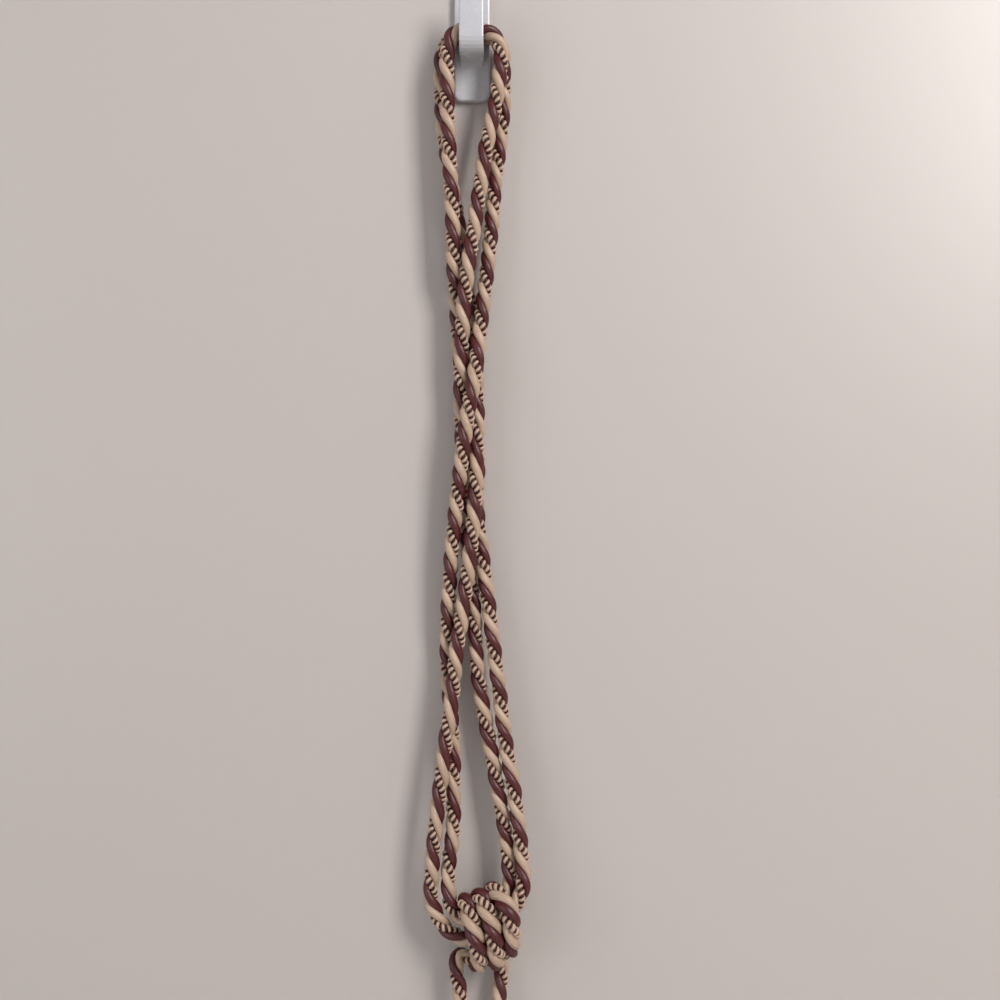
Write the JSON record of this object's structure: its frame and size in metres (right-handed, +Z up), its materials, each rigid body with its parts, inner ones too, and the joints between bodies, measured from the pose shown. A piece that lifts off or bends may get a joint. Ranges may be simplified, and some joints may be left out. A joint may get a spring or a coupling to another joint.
{
  "type": "curtain tieback tassel on its wall hook",
  "caption": "Twisted rope tieback hung by its two bights on a J hook, its strands crossing down to a wrapped knot that carries a tassel.",
  "frame": {"origin": "centre of the back face of the hook's plate", "axes": "+Z up along the hanging rope, +Y out of the plate's back into the wall, -Y towards the room"},
  "size_m": [0.0477, 0.0329, 0.6124],
  "materials": {
    "white_plastic": "glossy",
    "twisted_rope": "satin yarn",
    "tassel_yarn": "satin yarn",
    "band_yarn": "satin yarn"
  },
  "bodies": {
    "root": {"hook": "white_plastic", "arm_cord": "twisted_rope", "tassel_cord": "twisted_rope", "tassel_head": "tassel_yarn", "neck_band": "band_yarn", "tassel_skirt": "tassel_yarn"}
  },
  "joints": []
}
